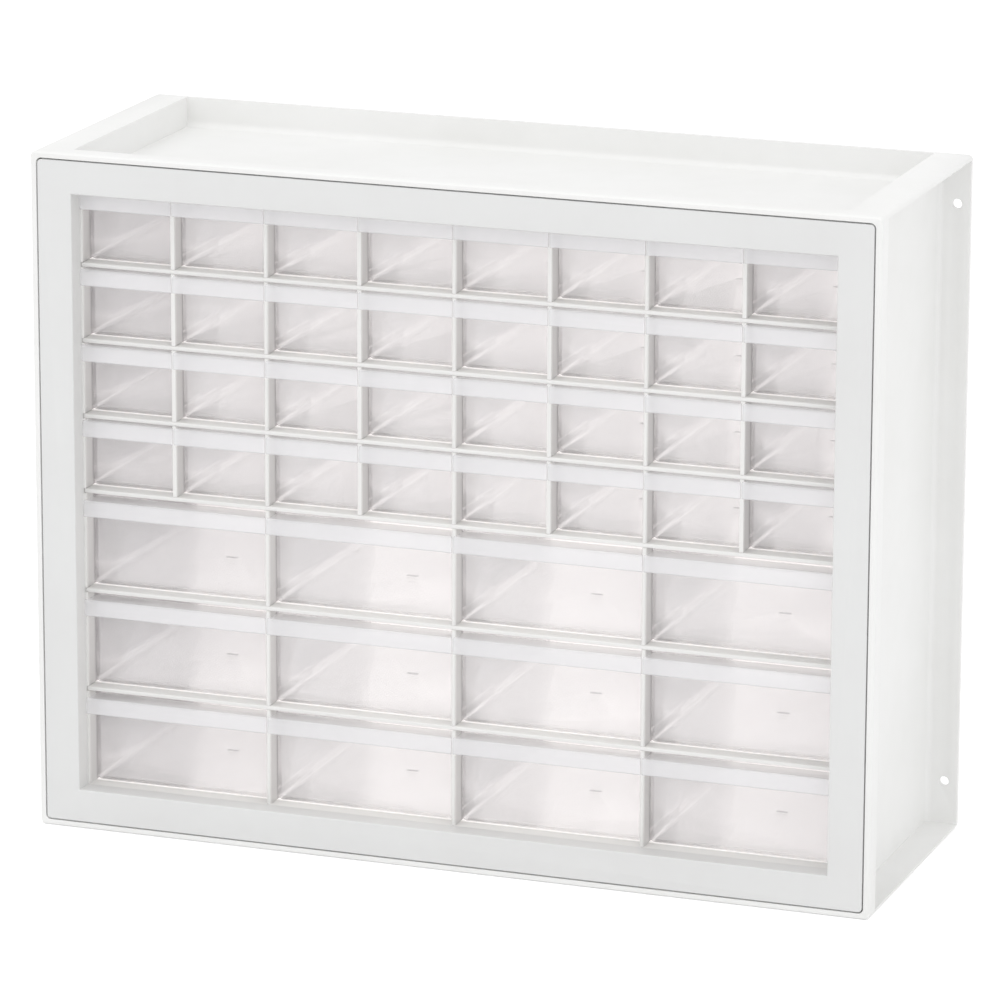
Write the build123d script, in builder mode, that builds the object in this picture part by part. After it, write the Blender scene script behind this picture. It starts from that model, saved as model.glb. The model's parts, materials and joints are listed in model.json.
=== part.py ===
"""Drawer cabinet for embroidery thread and small craft parts.

A white moulded casing carries a front bezel, a four-walled cell liner, a grid of shelves and
dividers, a back panel and forty-four clear drawers: eight columns of small drawers above four
columns of large ones. Each drawer slides towards the front.

Millimetres. X runs to the right, Y to the back, Z up. The origin is the middle of the footprint,
on the surface that the cabinet stands on.
"""
from build123d import *
import os

# ---------------------------------------------------------------- driving dimensions
# Outside of the cabinet.
width = 495.3
height = 393.7
depth = 177.8

# Opening in the bezel, left by the flat borders on its four sides.
border_side = 24.45
border_end = 23.1

# Drawer grid: the small rows and the large rows share the height equally.
small_columns = 8
small_rows = 4
large_columns = 4
large_rows = 3
plate_t = 2.5
grid_setback = 12.5
post_d = 12.0
rail_d = 65.0
rail_h = 5.5

# Outer casing.
rim_t = 3.4
casing_wall = 2.8
front_frame_d = 12.0
rear_flange_t = 3.0
casing_corner_r = 3.0
casing_edge_c = 1.0
flange_foot_r = 4.0
screw_hole_d = 5.5
screw_hole_edge_x = 8.0
screw_hole_edge_z = 28.0

# Front bezel.
bezel_seam = 0.9
bezel_plate_t = 2.8
bezel_skirt_t = 2.0
bezel_return_t = 2.0
bezel_corner_r = 2.2
bezel_opening_edge_r = 0.9

# Cell liner and back panel.
liner_wall = 2.5
liner_fit = 0.3
groove_d = 1.2
back_panel_t = 2.2

# Edges of the grid, and its fits in the liner.
shelf_edge_r = 0.9
divider_edge_c = 0.7
groove_fit = 0.15
groove_end_fit = 0.3
back_fit = 0.3

# Drawers.
drawer_wall = 1.5
drawer_floor = 1.6
drawer_side_gap = 0.5
drawer_floor_gap = 0.3
drawer_corner_r = 3.2
drawer_front_setback = 22.5
drawer_length = 147.0
small_top_gap = 1.0
large_top_gap = 4.0
pull_ledge_t = 1.8
pull_lip_t = 1.8
pull_lip_h = 9.6
pull_lip_gap = 0.8
pull_lip_stop_gap = 0.3
pull_lip_edge_c = 0.7
gate_mark_w = 7.0
gate_mark_l = 1.6
gate_mark_d = 0.4

# ---------------------------------------------------------------- worked-out places
front_y = -depth / 2
back_y = depth / 2
opening_w = width - 2 * border_side
opening_h = height - 2 * border_end
mid_z = height / 2

# Across, the cells stop half a plate inside the bezel's opening, so that the outer drawers' lips,
# which are a pitch wide, pass through it.
cells_w = opening_w - plate_t
cells_h = opening_h
column_pitch = opening_w / small_columns
large_column_pitch = opening_w / large_columns
half_grid_h = (cells_h + plate_t) / 2
small_row_pitch = half_grid_h / small_rows
large_row_pitch = half_grid_h / large_rows

liner_w = opening_w + 2 * liner_wall
liner_h = opening_h + 2 * liner_wall
bore_w = liner_w + 2 * liner_fit
bore_h = liner_h + 2 * liner_fit
box_w = bore_w + 2 * casing_wall
box_h = bore_h + 2 * casing_wall

grid_front_y = front_y + grid_setback
panel_front_y = back_y - back_panel_t
plate_back_y = panel_front_y - back_fit
plate_d = plate_back_y - grid_front_y
shelf_w = cells_w + 2 * (groove_d - groove_end_fit)
groove_h = plate_t + 2 * groove_fit
small_cell_h = small_row_pitch - plate_t
large_cell_h = large_row_pitch - plate_t

small_shelf_z = [mid_z + small_row_pitch * n for n in range(small_rows - 1, 0, -1)]
large_shelf_z = [mid_z - large_row_pitch * n for n in range(1, large_rows)]
shelf_z = small_shelf_z + [mid_z] + large_shelf_z
small_floor_z = [z + plate_t / 2 for z in small_shelf_z + [mid_z]]
large_floor_z = [z + plate_t / 2 for z in large_shelf_z + [mid_z - half_grid_h]]
small_divider_x = [column_pitch * (n - small_columns / 2) for n in range(1, small_columns)]
tall_divider_x = [large_column_pitch * (n - large_columns / 2) for n in range(1, large_columns)]
short_divider_x = [x for x in small_divider_x if min(abs(x - t) for t in tall_divider_x) > plate_t]


def facing(y):
    """Upright plane at y that faces the front: local x is X and local y is Z."""
    return Plane(origin=(0, y, 0), x_dir=(1, 0, 0), z_dir=(0, -1, 0))


def finish(piece, name):
    """Name a piece and write its file."""
    piece.part.label = name
    export_step(piece.part, f"parts/{name}.step")


os.makedirs("parts", exist_ok=True)

# ---------------------------------------------------------------- outer casing
# One moulding: a square tube round the liner, a front frame and a rear flange that both stand
# out to the full outline, and four corner strips that join the frame to the flange. What lies
# between them is recessed: the top recess is the tray, and the rear flange holds the screw holes.
tube_d = depth - front_frame_d - rear_flange_t
recess_w = (width - box_w) / 2
recess_h = (height - box_h) / 2
strip_h = height - 2 * casing_wall

with BuildPart() as outer_casing:
    with BuildSketch(facing(front_y)):
        with Locations((0, mid_z)):
            RectangleRounded(width, height, casing_corner_r)
    extrude(amount=-front_frame_d)
    with BuildSketch(facing(back_y - rear_flange_t)):
        with Locations((0, mid_z)):
            RectangleRounded(width, height, casing_corner_r)
    extrude(amount=-rear_flange_t)
    with BuildSketch(facing(front_y + front_frame_d)):
        with Locations((0, mid_z)):
            RectangleRounded(width, height, casing_corner_r)
        with Locations((0, mid_z)):
            with GridLocations(box_w + recess_w, 1, 2, 1):
                Rectangle(recess_w, strip_h, mode=Mode.SUBTRACT)
            with GridLocations(1, box_h + recess_h, 1, 2):
                Rectangle(bore_w, recess_h, mode=Mode.SUBTRACT)
    extrude(amount=-tube_d)
    flange_y = back_y - rear_flange_t
    feet = outer_casing.edges().filter_by_position(Axis.Y, flange_y - 0.01, flange_y + 0.01)
    side_feet = feet.filter_by(Axis.Z).filter_by(
        lambda e: abs(abs(e.center().X) - box_w / 2) < 0.01 and e.length > height / 2)
    end_feet = feet.filter_by(Axis.X).filter_by(
        lambda e: abs(abs(e.center().Z - mid_z) - box_h / 2) < 0.01 and e.length > width / 2)
    fillet(side_feet + end_feet, radius=flange_foot_r)
    front_rim = outer_casing.faces().sort_by(Axis.Y)[0].edges()
    chamfer(front_rim, length=casing_edge_c)
    with BuildSketch(facing(front_y)):
        with Locations((0, mid_z)):
            RectangleRounded(width - 2 * rim_t, height - 2 * rim_t, bezel_corner_r + bezel_seam)
    extrude(amount=-(front_frame_d - casing_wall), mode=Mode.SUBTRACT)
    with BuildSketch(facing(front_y)):
        with Locations((0, mid_z)):
            Rectangle(bore_w, bore_h)
    extrude(amount=-depth, mode=Mode.SUBTRACT)
    with BuildSketch(facing(back_y)):
        with Locations((0, mid_z)):
            with GridLocations(width - 2 * screw_hole_edge_x, height - 2 * screw_hole_edge_z, 2, 2):
                Circle(screw_hole_d / 2)
    extrude(amount=rear_flange_t, mode=Mode.SUBTRACT)
finish(outer_casing, "outer_casing")

# ---------------------------------------------------------------- front bezel
# A flat border that lies inside the casing's rim with a seam round it. Its skirt stands on the
# frame's web, and its inner walls return to the front edges of the grid.
bezel_w = width - 2 * (rim_t + bezel_seam)
bezel_h = height - 2 * (rim_t + bezel_seam)
skirt_d = front_frame_d - casing_wall - bezel_plate_t
return_d = grid_setback - bezel_plate_t

with BuildPart() as front_bezel:
    with BuildSketch(facing(front_y)):
        with Locations((0, mid_z)):
            RectangleRounded(bezel_w, bezel_h, bezel_corner_r)
            Rectangle(opening_w, opening_h, mode=Mode.SUBTRACT)
    extrude(amount=-bezel_plate_t)
    with BuildSketch(facing(front_y + bezel_plate_t)):
        with Locations((0, mid_z)):
            RectangleRounded(bezel_w, bezel_h, bezel_corner_r)
            Rectangle(bezel_w - 2 * bezel_skirt_t, bezel_h - 2 * bezel_skirt_t, mode=Mode.SUBTRACT)
    extrude(amount=-skirt_d)
    with BuildSketch(facing(front_y + bezel_plate_t)):
        with Locations((0, mid_z)):
            Rectangle(opening_w + 2 * bezel_return_t, opening_h + 2 * bezel_return_t)
            Rectangle(opening_w, opening_h, mode=Mode.SUBTRACT)
    extrude(amount=-return_d)
    front_face = front_bezel.faces().sort_by(Axis.Y)[0]
    fillet(front_face.inner_wires()[0].edges(), radius=bezel_opening_edge_r)
finish(front_bezel, "front_bezel")

# ---------------------------------------------------------------- cell liner
# A tube that fills the casing's bore. Grooves along its side walls hold the ends of the shelves.
liner_d = panel_front_y - grid_front_y

with BuildPart() as cell_liner:
    with BuildSketch(facing(grid_front_y)):
        with Locations((0, mid_z)):
            Rectangle(liner_w, liner_h)
            Rectangle(cells_w, cells_h, mode=Mode.SUBTRACT)
        with Locations([(0, z) for z in shelf_z]):
            Rectangle(cells_w + 2 * groove_d, groove_h, mode=Mode.SUBTRACT)
    extrude(amount=-liner_d)
finish(cell_liner, "cell_liner")

# ---------------------------------------------------------------- back panel
with BuildPart() as back_panel:
    with BuildSketch(facing(panel_front_y)):
        with Locations((0, mid_z)):
            Rectangle(liner_w, liner_h)
    extrude(amount=-back_panel_t)
finish(back_panel, "back_panel")

# ---------------------------------------------------------------- shelves
# Each shelf is one plate across the whole opening, with a rounded front edge.
shelf_names = ["shelf_1", "shelf_2", "shelf_3", "shelf_middle", "shelf_5", "shelf_6"]

for name, z in zip(shelf_names, shelf_z):
    with BuildPart() as shelf:
        with BuildSketch(Plane.XY.offset(z - plate_t / 2)):
            with Locations((0, grid_front_y + plate_d / 2)):
                Rectangle(shelf_w, plate_d)
        extrude(amount=plate_t)
        fillet(shelf.edges().filter_by(Axis.X).group_by(Axis.Y)[0], radius=shelf_edge_r)
    finish(shelf, name)

# ---------------------------------------------------------------- dividers
# A divider fills the height of one row at the front only, as a shallow post. Behind it a low rail
# runs along the shelf and guides the drawers on both sides; above the rail neighbouring drawers
# have nothing between them. The tall dividers stand one above another in all seven rows, the
# short ones in the rows of small drawers.
def upright(x):
    """Upright plane at x that faces the right: local x is Y and local y is Z."""
    return Plane(origin=(x, 0, 0), x_dir=(0, 1, 0), z_dir=(1, 0, 0))


def divider(x, floor_z, cell_h):
    """One post at x that stands on floor_z, with its rail."""
    with BuildPart() as post:
        with BuildSketch(upright(x - plate_t / 2)):
            with Locations((grid_front_y, floor_z)):
                Rectangle(post_d, cell_h, align=(Align.MIN, Align.MIN))
                Rectangle(rail_d, rail_h, align=(Align.MIN, Align.MIN))
        extrude(amount=plate_t)
        chamfer(post.edges().filter_by(Axis.Z).group_by(Axis.Y)[0], length=divider_edge_c)
    return post.part


tall_names = ["tall_divider_left", "tall_divider_middle", "tall_divider_right"]
for name, x in zip(tall_names, tall_divider_x):
    with BuildPart() as tall_divider:
        for floor_z in small_floor_z:
            add(divider(x, floor_z, small_cell_h))
        for floor_z in large_floor_z:
            add(divider(x, floor_z, large_cell_h))
    finish(tall_divider, name)

with BuildPart() as short_dividers:
    for x in short_divider_x:
        for floor_z in small_floor_z:
            add(divider(x, floor_z, small_cell_h))
finish(short_dividers, "short_dividers")

# ---------------------------------------------------------------- drawers
# A clear tub with rounded lower corners. From the top of its front a ledge reaches forward over
# the finger gap to a hanging lip, which is a pitch wide and closes against the dividers' edges.
# The gate through which the tub was filled has left a shallow mark in the middle of its floor.
def drawer(x, floor_z, pitch, cell_h, top_gap):
    """One drawer on the shelf whose upper face is at floor_z, with the middle of its column at x."""
    body_w = pitch - plate_t - 2 * drawer_side_gap
    bottom_z = floor_z + drawer_floor_gap
    top_z = floor_z + cell_h - top_gap
    body_h = top_z - bottom_z
    body_front_y = front_y + drawer_front_setback
    lip_back_y = grid_front_y - pull_lip_stop_gap
    inner_corner_r = drawer_corner_r - drawer_wall
    with BuildPart() as tub:
        with BuildSketch(facing(body_front_y)) as outline:
            with Locations((x, (bottom_z + top_z) / 2)):
                Rectangle(body_w, body_h)
            fillet(outline.vertices().group_by(Axis.Y)[0], radius=drawer_corner_r)
        extrude(amount=-drawer_length)
        with BuildSketch(facing(body_front_y + drawer_wall)) as hollow:
            with Locations((x, (bottom_z + drawer_floor + top_z) / 2)):
                Rectangle(body_w - 2 * drawer_wall, body_h - drawer_floor)
            fillet(hollow.vertices().group_by(Axis.Y)[0], radius=inner_corner_r)
        extrude(amount=-(drawer_length - 2 * drawer_wall), mode=Mode.SUBTRACT)
        with BuildSketch(upright(x - body_w / 2)):
            with Locations((lip_back_y, top_z)):
                Rectangle(body_front_y - lip_back_y, pull_ledge_t, align=(Align.MIN, Align.MAX))
        extrude(amount=body_w)
        with BuildSketch(upright(x - (pitch - pull_lip_gap) / 2)) as lip_section:
            with Locations((lip_back_y, top_z)):
                Rectangle(pull_lip_t, pull_lip_h, align=(Align.MAX, Align.MAX))
            chamfer(lip_section.vertices().group_by(Axis.X)[0], length=pull_lip_edge_c)
        extrude(amount=pitch - pull_lip_gap)
        with BuildSketch(Plane.XY.offset(bottom_z + drawer_floor)):
            with Locations((x, body_front_y + drawer_length / 2)):
                Rectangle(gate_mark_w, gate_mark_l)
        extrude(amount=-gate_mark_d, mode=Mode.SUBTRACT)
    return tub


for row, floor_z in enumerate(small_floor_z, start=1):
    for column in range(small_columns):
        x = column_pitch * (column + 0.5 - small_columns / 2)
        small = drawer(x, floor_z, column_pitch, small_cell_h, small_top_gap)
        finish(small, f"small_drawer_{row}_{column + 1}")

for row, floor_z in enumerate(large_floor_z, start=1):
    for column in range(large_columns):
        x = large_column_pitch * (column + 0.5 - large_columns / 2)
        large = drawer(x, floor_z, large_column_pitch, large_cell_h, large_top_gap)
        finish(large, f"large_drawer_{row}_{column + 1}")
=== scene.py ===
# %% [markdown]
# # A drawer cabinet, dressed for its picture
#
# The cabinet arrives as a frame of plain solids at their real size: a casing, a bezel, a grid of
# shelves and dividers, and forty-four clear drawers. This lesson gives them what a maker would
# see from a step away: softened mould edges, satin white plastic, hazy clear polystyrene and soft
# studio light. Nothing is moved or resized. Lengths are in metres, Z is up, and the front of the
# cabinet looks along -Y.

# %% Load the frame
import json
import math

import bmesh
import bpy
from mathutils import Matrix, Vector


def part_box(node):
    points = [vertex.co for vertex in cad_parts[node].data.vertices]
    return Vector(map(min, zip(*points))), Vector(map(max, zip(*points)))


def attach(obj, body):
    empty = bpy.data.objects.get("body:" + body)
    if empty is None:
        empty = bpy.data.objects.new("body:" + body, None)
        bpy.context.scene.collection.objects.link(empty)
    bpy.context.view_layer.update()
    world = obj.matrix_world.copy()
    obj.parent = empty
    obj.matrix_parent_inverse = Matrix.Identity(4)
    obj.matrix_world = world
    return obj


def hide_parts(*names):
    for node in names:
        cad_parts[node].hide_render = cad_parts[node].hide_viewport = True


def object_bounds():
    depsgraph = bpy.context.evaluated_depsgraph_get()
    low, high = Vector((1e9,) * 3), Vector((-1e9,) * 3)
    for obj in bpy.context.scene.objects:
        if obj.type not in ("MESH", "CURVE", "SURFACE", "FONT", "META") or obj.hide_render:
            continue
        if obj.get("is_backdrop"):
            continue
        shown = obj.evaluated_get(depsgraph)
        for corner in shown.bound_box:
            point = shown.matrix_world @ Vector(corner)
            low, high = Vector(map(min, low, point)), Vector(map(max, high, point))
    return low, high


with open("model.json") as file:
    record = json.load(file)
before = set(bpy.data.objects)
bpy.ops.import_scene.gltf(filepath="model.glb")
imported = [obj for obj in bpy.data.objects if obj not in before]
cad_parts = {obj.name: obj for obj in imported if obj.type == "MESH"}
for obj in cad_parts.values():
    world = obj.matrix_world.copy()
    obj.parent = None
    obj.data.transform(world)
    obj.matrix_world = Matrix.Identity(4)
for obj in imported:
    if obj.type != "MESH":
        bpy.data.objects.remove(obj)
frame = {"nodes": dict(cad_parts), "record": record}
cad_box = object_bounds()
MM = 0.001
nodes = frame["nodes"]
node_body = {name: body for body, names in frame["record"]["behaviour"]["bodies"].items() for name in names}

# %% [markdown]
# ## The camera
#
# The photograph was taken from the right of the front and from above, with a long lens. Where the
# camera stood can be worked out from the cabinet's corners: their real places are known, and so is
# where each one falls in the picture. Three angles, a place and a focal length are enough.

# %% Camera
SENSOR = 36.0
FOCAL_IN_PICTURE_WIDTHS = 6.202
YAW, PITCH, ROLL = math.radians(19.891), math.radians(14.829), math.radians(0.211)
CAMERA_PLACE = Vector((1.1543, -3.1908, 1.0917))

forward = Vector((-math.sin(YAW) * math.cos(PITCH), math.cos(YAW) * math.cos(PITCH), -math.sin(PITCH)))
level_right = Vector((math.cos(YAW), math.sin(YAW), 0.0))
level_up = level_right.cross(forward)
right = math.cos(ROLL) * level_right + math.sin(ROLL) * level_up
up = math.cos(ROLL) * level_up - math.sin(ROLL) * level_right

camera_data = bpy.data.cameras.new("camera")
camera_data.sensor_fit = "HORIZONTAL"
camera_data.sensor_width = SENSOR
camera_data.lens = SENSOR * FOCAL_IN_PICTURE_WIDTHS
camera_data.clip_end = 30.0
camera = bpy.data.objects.new("camera", camera_data)
turn = Matrix((right, up, -forward)).transposed().to_4x4()
camera.matrix_world = Matrix.Translation(CAMERA_PLACE) @ turn
bpy.context.scene.collection.objects.link(camera)
bpy.context.scene.camera = camera
bpy.context.scene.view_settings.view_transform = "Standard"
print("lens:", round(camera_data.lens, 1), "mm")

# %% [markdown]
# ## Shader maths in plain Python
#
# A material is a graph of nodes. Wiring it by hand takes a line for each node and each link. A
# small class that wraps a socket lets an expression such as `1 - mask * 0.3` add those nodes by
# itself. Everything else, such as a noise texture, comes from one method, `node`.

# %% Nodes by expression
class Wire:
    """An output of a material's node. Python's operators on it add Math nodes."""

    def __init__(self, tree, socket):
        self.tree = tree
        self.socket = socket

    def math(self, operation, *values):
        return self.tree.node("ShaderNodeMath", {"operation": operation}, values)

    def __add__(self, other):
        return self.math("ADD", self, other)

    def __radd__(self, other):
        return self.math("ADD", other, self)

    def __sub__(self, other):
        return self.math("SUBTRACT", self, other)

    def __rsub__(self, other):
        return self.math("SUBTRACT", other, self)

    def __mul__(self, other):
        return self.math("MULTIPLY", self, other)

    def __rmul__(self, other):
        return self.math("MULTIPLY", other, self)

    def __truediv__(self, other):
        return self.math("DIVIDE", self, other)

    def clamped(self, low=0.0, high=1.0):
        """This value, held between low and high."""
        return self.tree.node("ShaderNodeClamp", {}, {"Value": self, "Min": low, "Max": high})

    def ramp(self, low, high):
        """0 below low, 1 above high, and straight between."""
        values = {"Value": self, "From Min": low, "From Max": high}
        return self.tree.node("ShaderNodeMapRange", {"clamp": True}, values)


print("operators that add Math nodes:", "+ - * /")

# %% [markdown]
# A tree of nodes belongs to a material, to the world or to a rule for shapes. One class serves all
# three: `node` adds a node of any kind and gives back a wire from it.

# %% A tree of nodes
class Tree:
    """A node tree of any sort, which its nodes are added to."""

    def __init__(self, tree):
        self.tree = tree
        self.nodes = tree.nodes
        self.links = tree.links
        self.nodes.clear()

    def node(self, kind, settings, values=(), out=0):
        """A node of one kind: its settings first, then the values or wires of its inputs."""
        made = self.nodes.new(kind)
        for key, value in settings.items():
            setattr(made, key, value)
        pairs = values.items() if isinstance(values, dict) else enumerate(values)
        for key, value in pairs:
            if isinstance(value, Wire):
                self.links.new(value.socket, made.inputs[key])
            elif isinstance(value, list):
                for wire in value:
                    self.links.new(wire.socket, made.inputs[key])
            else:
                made.inputs[key].default_value = value
        return Wire(self, made.outputs[out])

    def node_end(self, kind, wire):
        """The tree's output node, which has no outputs of its own."""
        end = self.nodes.new(kind)
        self.links.new(wire.socket, end.inputs[0])

    def seen_directly(self):
        """1 where the camera, a reflection or a clear wall shows this surface, and 0 for its light."""
        names = ("Is Camera Ray", "Is Glossy Ray", "Is Transmission Ray")
        rays = [self.node("ShaderNodeLightPath", {}, out=name) for name in names]
        return (rays[0] + rays[1] + rays[2]).clamped()


print("kinds of ray that show a surface:", 3)

# %% [markdown]
# A material adds what its pattern is made from: places on the object in metres, the way a surface
# faces, noise of a real size, a colour between two others, and bump of a real depth. Places are
# Object coordinates, so a pattern stays on its piece when the piece moves.

# %% A material's own helpers
class Shader(Tree):
    """A new material and the nodes in it."""

    def __init__(self, name):
        self.material = bpy.data.materials.new(name)
        self.material.use_nodes = True
        super().__init__(self.material.node_tree)

    def place(self, scale=(1, 1, 1)):
        """Object coordinates, in metres, times a scale."""
        here = self.node("ShaderNodeTexCoord", {}, out="Object")
        return self.node("ShaderNodeMapping", {}, {"Vector": here, "Scale": scale})

    def axis(self, index):
        """One of the object coordinates, in metres: 0 is X, 1 is Y, 2 is Z."""
        here = self.node("ShaderNodeTexCoord", {}, out="Object")
        return self.node("ShaderNodeSeparateXYZ", {}, (here,), out=index)

    def math_of(self, operation, value):
        """A Math node of one input, such as ABSOLUTE or FRACT."""
        return value.math(operation, value)

    def facing(self, index):
        """How far the surface faces along one axis, from -1 to 1: 0 is X, 1 is Y, 2 is Z."""
        way = self.node("ShaderNodeNewGeometry", {}, out="Normal")
        return self.node("ShaderNodeSeparateXYZ", {}, (way,), out=index)

    def noise(self, size, detail=2.0, stretch=(1, 1, 1)):
        """Smooth noise whose lumps are about size metres across."""
        where = self.place(stretch)
        values = {"Vector": where, "Scale": 1.0 / size, "Detail": detail}
        return self.node("ShaderNodeTexNoise", {}, values)

    def blend(self, amount, first, second):
        """A colour between two others."""
        made = self.nodes.new("ShaderNodeMix")
        made.data_type = "RGBA"
        self.links.new(amount.socket, made.inputs[0])
        for index, colour in ((6, first), (7, second)):
            if isinstance(colour, Wire):
                self.links.new(colour.socket, made.inputs[index])
            else:
                made.inputs[index].default_value = (*colour, 1.0)
        return Wire(self, made.outputs[2])

    def bump(self, height, distance, strength=1.0):
        """A normal that follows height, in units of distance metres."""
        values = {"Height": height, "Distance": distance, "Strength": strength}
        return self.node("ShaderNodeBump", {}, values)

    def finish(self, shader):
        """Connects the surface and returns the material."""
        self.node_end("ShaderNodeOutputMaterial", shader)
        return self.material


BLACK = (0.0, 0.0, 0.0)
print("materials so far:", len(bpy.data.materials))

# %% [markdown]
# ## White moulded plastic
#
# The casing, bezel and grid are satin polystyrene. Up close such a surface is never one colour:
# the pigment drifts a little over a hand's width, the mould's spark-eroded texture leaves a fine
# grain, and use leaves faint rubbed streaks that change the gloss more than the colour. Each of
# the three is a noise of its own size, so all three stay put on the object.
#
# Thin white plates also pass light. Forty-four neighbouring cells share it out among them, and a
# path tracer would need very many bounces to do the same, so the back panel and the cells' floors
# glow a little behind the drawers' windows. The dividers' sides get the least light, and are
# painted a shade darker, most of all behind the windows.

# %% White plastics
lip_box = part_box("large_drawer_1_1")
GLOW_START = lip_box[0].y + 11 * MM
POST_FRONT = lip_box[0].y + 2 * MM
INNER_LIGHT = (1.0, 0.945, 0.935)
SHADED_SIDE = (0.42, 0.40, 0.41)
FRONT_SHADE = 0.42
HAND, FINGER, RUB = 90 * MM, 14 * MM, 5 * MM
print("the glow starts", round(1000 * (GLOW_START - lip_box[0].y), 1), "mm behind the lips")


def white_plastic(name, colour, shade, roughness, grain_mm, grain_depth_mm, glow=(0.0, 0.0)):
    """Satin moulded plastic: colour drifts towards shade, with grain and rubbed streaks.

    glow holds the light passed on inside the cells by upright faces and by floors.
    """
    s = Shader(name)
    drift = s.noise(HAND, 2.0).ramp(0.35, 0.68)
    cloud = s.noise(FINGER, 3.0).ramp(0.42, 0.75)
    tone = s.blend((drift * 0.7 + cloud * 0.3).clamped(), colour, shade)
    grain = s.noise(grain_mm * MM, 2.0)
    streak = s.noise(RUB, 4.0, (1.0, 1.0, 0.08)).ramp(0.60, 0.78)
    rough = (roughness + 0.08 * (grain - 0.5) - 0.07 * streak).clamped(0.05, 1.0)
    normal = s.bump(grain, grain_depth_mm * MM)
    values = {"Base Color": tone, "Roughness": rough, "Normal": normal, "IOR": 1.55}
    if glow[1]:
        upward = s.facing(2)
        behind_window = s.axis(1).ramp(GLOW_START, GLOW_START + 2 * MM)
        sideways = s.math_of("ABSOLUTE", s.facing(0)).ramp(0.5, 0.9)
        before_window = s.axis(1).ramp(POST_FRONT, POST_FRONT + 3 * MM)
        shaded = sideways * (FRONT_SHADE * before_window + (1.0 - FRONT_SHADE) * behind_window)
        values["Base Color"] = s.blend(shaded, tone, SHADED_SIDE)
        inside = behind_window * upward.ramp(-0.7, -0.3) * (1.0 - s.facing(1).ramp(0.3, 0.7))
        light = inside * (glow[0] + (glow[1] - glow[0]) * upward.ramp(0.3, 0.7))
        values["Emission Color"] = s.blend(light, BLACK, INNER_LIGHT)
        values["Emission Strength"] = 1.0
    return s.finish(s.node("ShaderNodeBsdfPrincipled", {}, values))


# colour, shade, roughness, size of the grain and its depth in mm, glow
whites = {
    "casing_white": ((0.86, 0.86, 0.85), (0.825, 0.825, 0.81), 0.46, 0.55, 0.035),
    "bezel_white": ((0.745, 0.75, 0.745), (0.72, 0.72, 0.715), 0.42, 0.50, 0.030),
    "grid_white": ((0.82, 0.815, 0.80), (0.795, 0.79, 0.775), 0.38, 0.60, 0.020, (0.0, 0.50)),
    "panel_white": ((0.85, 0.845, 0.83), (0.82, 0.81, 0.80), 0.60, 0.90, 0.060, (0.42, 0.42)),
}
whites = {name: white_plastic(name, *look) for name, look in whites.items()}
print("white plastics:", len(whites))

# %% [markdown]
# ## Clear drawers
#
# General-purpose polystyrene is clear, with a faint haze and a hard gloss. Refraction through
# forty-four tubs of two thin walls each costs a great many samples and shows little, so each
# surface here lets most light straight through, and covers the rest with a hazy glossy coat. The
# hanging lip is thicker and rubbed by fingers, and the rear wall and floor carry the mould's
# frosting, so they are hazier than the window. A rim seen at a slant reflects more, which is what
# Fresnel says. Light runs along inside such a wall and leaks out at its far end, and a little
# emission behind the window stands for that.
#
# A ray may cross only eight clear surfaces, and would see black past them. Past the seventh it
# meets a plain milky glow, painted light of one tone that stands in for what lies beyond. The gate
# mark is the small scar in the middle of each floor where the plastic ran into the mould, painted
# longer and darker here than it is, so that it shows: the scar is real, and its dark tone is
# painted shade of its small recess. The ledge over the finger gap gets more haze and less gloss, or
# the lamps would draw a bright line on it.

# %% Where the parts of a drawer lie
LIP_BACK = lip_box[0].y + 1.9 * MM
WINDOW_BACK = lip_box[0].y + 14.0 * MM
REAR_WALL = lip_box[1].y - 2.0 * MM
FLOOR_MIDDLE = (lip_box[0].y + 12.1 * MM + lip_box[1].y) / 2
LARGE_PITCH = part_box("large_drawer_1_2")[0].x - lip_box[0].x
MARK_HALF_WIDTH, MARK_HALF_LENGTH, MARK_EDGE = 3.2 * MM, 1.2 * MM, 0.4 * MM
# The gate mark's dark tone is painted shade of its small recess; the scar itself is real.
MARK_SHADE_TONE = (0.38, 0.36, 0.37)
MARK_COVER, LEDGE_COVER = 0.40, 0.40
GLOSS, GLOSS_LOST_ON_LEDGE = 0.75, 0.65
GLOW_LOST_ON_SIDES = 0.85
MIRROR_TONE = (0.97, 0.97, 0.98, 1.0)
# A painted milky glow: light that stands in for what lies past the seventh clear surface.
MILKY_GLOW = (0.82, 0.785, 0.78, 1.0)
LAST_CLEAR_SURFACE = 6.5
print("large drawers' pitch:", round(LARGE_PITCH / MM, 1), "mm")


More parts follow.
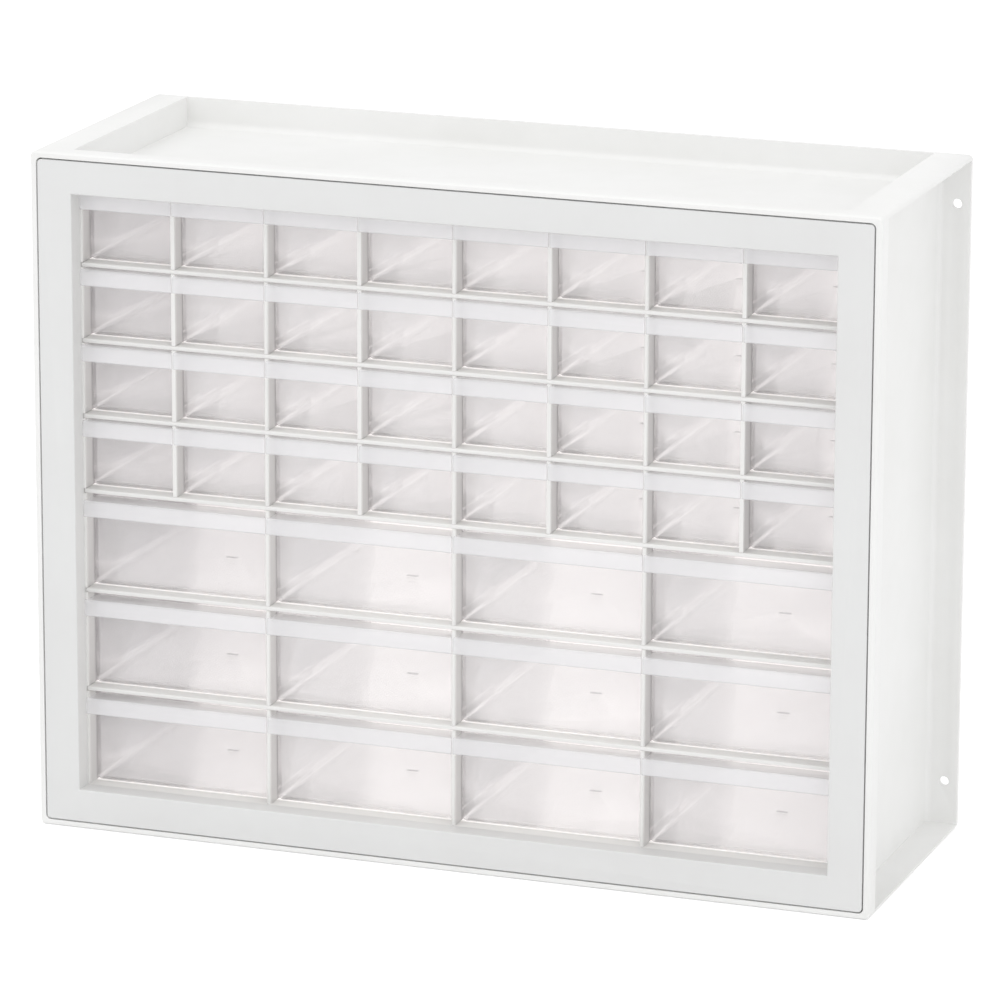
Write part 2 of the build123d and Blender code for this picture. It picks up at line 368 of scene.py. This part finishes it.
# %% Clear plastic
def clear_plastic(name, hazes, glow, body, pitch):
    """Thin clear plastic. hazes holds the haze of the lip, the window, the walls and the rear.

    pitch is the width of a column, which says where the middle of each floor is.
    """
    s = Shader(name)
    lip_haze, window_haze, wall_haze, rear_haze = hazes
    cloud = s.noise(22 * MM, 3.0).ramp(0.35, 0.75)
    rub = s.noise(4 * MM, 4.0, (0.1, 1.0, 1.0)).ramp(0.58, 0.80)
    depth = s.axis(1)
    lip = 1.0 - depth.ramp(LIP_BACK - 0.1 * MM, LIP_BACK + 0.4 * MM)
    wall = depth.ramp(WINDOW_BACK - 1.0 * MM, WINDOW_BACK)
    rear = depth.ramp(REAR_WALL - 0.3 * MM, REAR_WALL)
    haze = window_haze + (lip_haze - window_haze) * lip + (wall_haze - window_haze) * wall
    haze = haze + (rear_haze - wall_haze) * rear
    ledge = (1.0 - wall) * (1.0 - lip) * s.facing(2).ramp(0.3, 0.7)
    across = s.axis(0) / pitch + 100.0
    off_middle = s.math_of("ABSOLUTE", s.math_of("FRACT", across) - 0.5) * pitch
    off_mark = s.math_of("ABSOLUTE", depth - FLOOR_MIDDLE)
    # The gate mark: a real scar, painted darker as painted shade of its small recess.
    mark = 1.0 - off_middle.ramp(MARK_HALF_WIDTH, MARK_HALF_WIDTH + MARK_EDGE)
    mark = mark * (1.0 - off_mark.ramp(MARK_HALF_LENGTH, MARK_HALF_LENGTH + MARK_EDGE))
    cover = haze + 0.03 * cloud + 0.02 * rub + MARK_COVER * mark + LEDGE_COVER * ledge
    upright = s.math_of("ABSOLUTE", s.facing(0)).ramp(0.5, 0.9)
    light = wall * (glow[0] + (glow[1] - glow[0]) * depth.ramp(WINDOW_BACK, REAR_WALL))
    light = light * (1.0 - GLOW_LOST_ON_SIDES * upright) * (1.0 - mark)
    ripple = s.noise(9 * MM, 1.0)
    normal = s.bump(ripple, 0.02 * MM, 0.5)
    values = {
        "Base Color": s.blend(mark, body, MARK_SHADE_TONE),
        "Roughness": 0.35,
        "Alpha": cover.clamped(),
        "Normal": normal,
        "Emission Color": s.blend(light, BLACK, INNER_LIGHT),
        "Emission Strength": 1.0,
    }
    haze_coat = s.node("ShaderNodeBsdfPrincipled", {}, values)
    mirror = {"Base Color": MIRROR_TONE, "Metallic": 1.0, "Roughness": 0.11 + 0.04 * rub, "Normal": normal}
    gloss_coat = s.node("ShaderNodeBsdfPrincipled", {}, mirror)
    slant = s.node("ShaderNodeFresnel", {}, {"IOR": 1.50, "Normal": normal})
    shine = slant * (GLOSS - GLOSS_LOST_ON_LEDGE * ledge)
    surface = s.node("ShaderNodeMixShader", {}, (shine, haze_coat, gloss_coat))
    # Past the seventh clear surface, a painted milky glow stands in for the light beyond.
    passed = s.node("ShaderNodeLightPath", {}, out="Transparent Depth")
    stand_in_glow = s.node("ShaderNodeEmission", {}, {"Color": MILKY_GLOW, "Strength": 1.0})
    too_deep = passed.ramp(LAST_CLEAR_SURFACE - 0.1, LAST_CLEAR_SURFACE + 0.1)
    return s.finish(s.node("ShaderNodeMixShader", {}, (too_deep, surface, stand_in_glow)))


# %% The two sizes of drawer
clear_hazes = (0.52, 0.08, 0.24, 0.42)
large_glow = (0.33, 0.31)
small_glow = (0.43, 0.39)
clear_body = (0.785, 0.78, 0.795)
large_clear = clear_plastic("large_drawer_clear", clear_hazes, large_glow, clear_body, LARGE_PITCH)
small_clear = clear_plastic("small_drawer_clear", clear_hazes, small_glow, clear_body, LARGE_PITCH / 2)
print("clear plastics:", 2)

# %% [markdown]
# ## Softened edges
#
# A solid from a CAD program has edges of no width, and no highlight ever runs along them. A mould
# can't make such an edge. A copy of each piece is merged, its flat facets are joined, and a narrow
# bevel goes along every sharp edge. The bevel's normals are hardened, so that the flats stay flat
# in the light and only the bevel is round.

# %% Softened copies of the pieces
MERGE = 0.002 * MM
SHARP = math.radians(25)
FLAT = math.radians(0.5)


def made_plain(piece, edge_mm, segments):
    """Bevels a piece's sharp edges, and makes what its modifiers give a plain mesh."""
    bevel = piece.modifiers.new("mould_edges", "BEVEL")
    bevel.width = edge_mm * MM
    bevel.segments = segments
    bevel.limit_method = "ANGLE"
    bevel.angle_limit = SHARP
    bevel.harden_normals = True
    graph = bpy.context.evaluated_depsgraph_get()
    before = piece.data
    finished = bpy.data.meshes.new_from_object(piece.evaluated_get(graph))
    piece.modifiers.clear()
    piece.data = finished
    bpy.data.meshes.remove(before)


def softened(name, edge_mm, segments, material):
    """A piece that stands for CAD node name, with its sharp edges bevelled by edge_mm."""
    mesh = nodes[name].data.copy()
    mesh.name = name + "_soft"
    work = bmesh.new()
    work.from_mesh(mesh)
    bmesh.ops.remove_doubles(work, verts=work.verts, dist=MERGE)
    bmesh.ops.dissolve_limit(work, angle_limit=FLAT, verts=work.verts, edges=work.edges)
    for face in work.faces:
        face.smooth = True
    work.to_mesh(mesh)
    work.free()
    piece = bpy.data.objects.new(name + "_soft", mesh)
    bpy.context.scene.collection.objects.link(piece)
    made_plain(piece, edge_mm, segments)
    piece.data.materials.clear()
    piece.data.materials.append(material)
    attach(piece, node_body[name])
    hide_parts(name)
    return piece


def let_light_past(piece):
    """Clear plastic hardly shades what is behind it, so the lamps and bounces pass it by."""
    piece.visible_shadow = False
    piece.visible_diffuse = False


# %% Every piece but the short dividers
slots = {part["node"]: part["material_slot"] for part in frame["record"]["subparts"]}
finishes = {
    "casing_white": (whites["casing_white"], 0.45, 3),
    "bezel_white": (whites["bezel_white"], 0.35, 3),
    "grid_white": (whites["grid_white"], 0.25, 2),
    "panel_white": (whites["panel_white"], 0.25, 2),
    "drawer_clear": (large_clear, 0.30, 2),
}
pieces = {}
for name in sorted(nodes):
    if name == "short_dividers":
        continue
    material, edge_mm, segments = finishes[slots[name]]
    if name.startswith("small"):
        material = small_clear
    pieces[name] = softened(name, edge_mm, segments, material)
    if slots[name] == "drawer_clear":
        let_light_past(pieces[name])
print("softened pieces:", len(pieces), "faces:", sum(len(p.data.polygons) for p in pieces.values()))

# %% [markdown]
# ## Short dividers
#
# Between the small drawers stand sixteen equal dividers: four columns, four rows. Each is a shallow
# post that closes the cell's front corner, with a low rail behind it that keeps the tubs apart.
# What repeats like this is a rule, and Geometry Nodes can hold the rule: one divider is the union
# of two boxes, a line of rows is set on a line of columns, and a divider is set on each point. The
# sizes are the tree's named inputs. Its result is made a plain mesh, because an export drops
# instances.

# %% The rule for a divider on every point of a grid
rule = bpy.data.node_groups.new("dividers_on_a_grid", "GeometryNodeTree")
rule.is_modifier = True
t = Tree(rule)
sizes = ("Thickness", "Post Depth", "Rail Depth", "Rail Height", "Cell Height", "Column Pitch", "Row Pitch")
for label in sizes:
    rule.interface.new_socket(label, in_out="INPUT", socket_type="NodeSocketFloat")
for label in ("Columns", "Rows"):
    rule.interface.new_socket(label, in_out="INPUT", socket_type="NodeSocketInt")
rule.interface.new_socket("First Foot", in_out="INPUT", socket_type="NodeSocketVector")
rule.interface.new_socket("Plastic", in_out="INPUT", socket_type="NodeSocketMaterial")
rule.interface.new_socket("Geometry", in_out="OUTPUT", socket_type="NodeSocketGeometry")
labels = (*sizes, "Columns", "Rows", "First Foot", "Plastic")
given = {label: t.node("NodeGroupInput", {}, out=label) for label in labels}
print("inputs of the rule:", len(given))


# %% One divider, and where each stands
def standing_box(depth, height):
    """A box as thick as a divider, whose front foot is at the origin."""
    size = t.node("ShaderNodeCombineXYZ", {}, (given["Thickness"], depth, height))
    lift = t.node("ShaderNodeCombineXYZ", {}, (0.0, depth * 0.5, height * 0.5))
    box = t.node("GeometryNodeMeshCube", {}, {"Size": size})
    return t.node("GeometryNodeTransform", {}, {"Geometry": box, "Translation": lift})


post = standing_box(given["Post Depth"], given["Cell Height"])
rail = standing_box(given["Rail Depth"], given["Rail Height"])
union = {"operation": "UNION", "solver": "EXACT"}
divider = t.node("GeometryNodeMeshBoolean", union, {"Mesh 2": [post, rail]})
sideways = t.node("ShaderNodeCombineXYZ", {}, (given["Column Pitch"], 0.0, 0.0))
upwards = t.node("ShaderNodeCombineXYZ", {}, (0.0, 0.0, given["Row Pitch"]))
column_feet = t.node("GeometryNodeMeshLine", {}, {"Count": given["Columns"], "Offset": sideways})
row_feet = t.node("GeometryNodeMeshLine", {}, {"Count": given["Rows"], "Offset": upwards})
feet = t.node("GeometryNodeInstanceOnPoints", {}, {"Points": column_feet, "Instance": row_feet})
feet = t.node("GeometryNodeRealizeInstances", {}, {"Geometry": feet})
stood = t.node("GeometryNodeInstanceOnPoints", {}, {"Points": feet, "Instance": divider})
stood = t.node("GeometryNodeTransform", {}, {"Geometry": stood, "Translation": given["First Foot"]})
solid = t.node("GeometryNodeRealizeInstances", {}, {"Geometry": stood})
smooth = t.node("GeometryNodeSetShadeSmooth", {}, {"Geometry": solid})
coated = t.node("GeometryNodeSetMaterial", {}, {"Geometry": smooth, "Material": given["Plastic"]})
t.node_end("NodeGroupOutput", coated)
print("nodes in the rule:", len(rule.nodes))

# %% The sixteen short dividers
low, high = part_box("short_dividers")
COLUMNS, ROWS = 4, 4
THICKNESS = 2.5 * MM
EDGE_MM = 0.35
ROW_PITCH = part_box("shelf_1")[1].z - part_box("shelf_2")[1].z
wanted = {
    "Thickness": THICKNESS,
    "Post Depth": 12.0 * MM,
    "Rail Depth": 65.0 * MM,
    "Rail Height": 5.5 * MM,
    "Cell Height": (high.z - low.z) - (ROWS - 1) * ROW_PITCH,
    "Column Pitch": (high.x - low.x - THICKNESS) / (COLUMNS - 1),
    "Row Pitch": ROW_PITCH,
    "Columns": COLUMNS,
    "Rows": ROWS,
    "First Foot": (low.x + THICKNESS / 2, low.y, low.z),
    "Plastic": whites["grid_white"],
}
short = bpy.data.objects.new("short_dividers_soft", bpy.data.meshes.new("short_dividers_start"))
bpy.context.scene.collection.objects.link(short)
grower = short.modifiers.new("dividers_on_a_grid", "NODES")
grower.node_group = rule
for item in rule.interface.items_tree:
    if item.in_out == "INPUT":
        grower[item.identifier] = wanted[item.name]
made_plain(short, EDGE_MM, 2)
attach(short, node_body["short_dividers"])
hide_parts("short_dividers")
spots = [vertex.co for vertex in short.data.vertices]
off = [min(spot[i] for spot in spots) - low[i] for i in range(3)]
off += [max(spot[i] for spot in spots) - high[i] for i in range(3)]
print("short dividers' faces:", len(short.data.polygons))
print("their box less the CAD's, mm:", [round(value / MM, 2) for value in off])

# %% [markdown]
# ## Floor and light
#
# The picture is a studio shot on white: light from nearly everywhere, a little more from above and
# from the right, and hardly a shadow. Three wide soft lamps, above, at the right and in front, and a
# pale world do the same. Where the camera, a reflection or a clear wall shows the world or the
# floor, both are white. Only gloss picks that white up, and the floor keeps the object's shadow.

# %% Floor
floor_mesh = bpy.data.meshes.new("floor")
FLOOR_REACH = 6.0
corners = [(x * FLOOR_REACH, y * FLOOR_REACH, 0) for x, y in ((-1, -1), (1, -1), (1, 1), (-1, 1))]
floor_mesh.from_pydata(corners, [], [(0, 1, 2, 3)])
floor = bpy.data.objects.new("floor", floor_mesh)
bpy.context.scene.collection.objects.link(floor)
s = Shader("floor_white")
paper = s.noise(3 * MM, 3.0)
tone = s.blend(paper.ramp(0.3, 0.7), (0.90, 0.90, 0.90), (0.88, 0.88, 0.88))
matt = s.node("ShaderNodeBsdfDiffuse", {}, {"Color": tone})
WHITE = (1.0, 1.0, 1.0, 1.0)
lift = s.node("ShaderNodeEmission", {}, {"Color": WHITE, "Strength": 0.35})
lifted = s.node("ShaderNodeAddShader", {}, (matt, lift))
floor_mesh.materials.append(s.finish(s.node("ShaderNodeMixShader", {}, (s.seen_directly(), matt, lifted))))
floor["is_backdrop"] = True
print("floor:", 2 * FLOOR_REACH, "m square")

# %% Light
world = bpy.data.worlds.new("studio")
bpy.context.scene.world = world
world.use_nodes = True
sky = Tree(world.node_tree)
lit = sky.node("ShaderNodeBackground", {}, {"Color": (0.995, 0.995, 1.0, 1.0), "Strength": 0.84})
seen = sky.node("ShaderNodeBackground", {}, {"Color": WHITE, "Strength": 1.0})
sky.node_end("ShaderNodeOutputWorld", sky.node("ShaderNodeMixShader", {}, (sky.seen_directly(), lit, seen)))


def soft_sun(name, toward, power, spread):
    """Light from far away in one direction, spread over a wide angle as from a large diffuser."""
    lamp = bpy.data.lights.new(name, "SUN")
    lamp.energy = power
    lamp.angle = math.radians(spread)
    thing = bpy.data.objects.new(name, lamp)
    thing.matrix_world = Vector(toward).to_track_quat("-Z", "Y").to_matrix().to_4x4()
    bpy.context.scene.collection.objects.link(thing)


soft_sun("diffuser_above", (0.15, 0.30, -1.0), 0.62, 70)
soft_sun("diffuser_right", (-1.0, 0.35, -0.25), 0.39, 60)
soft_sun("diffuser_front", (0.25, 1.0, -0.20), 0.30, 60)
print("lamps:", len(bpy.data.lights))

# %% Finish
visual_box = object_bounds()
grown = [abs(seen_at - cad_at) for ends in zip(visual_box, cad_box) for seen_at, cad_at in zip(*ends)]
print("visual box less the CAD box, at most, mm:", round(max(grown) / MM, 3))
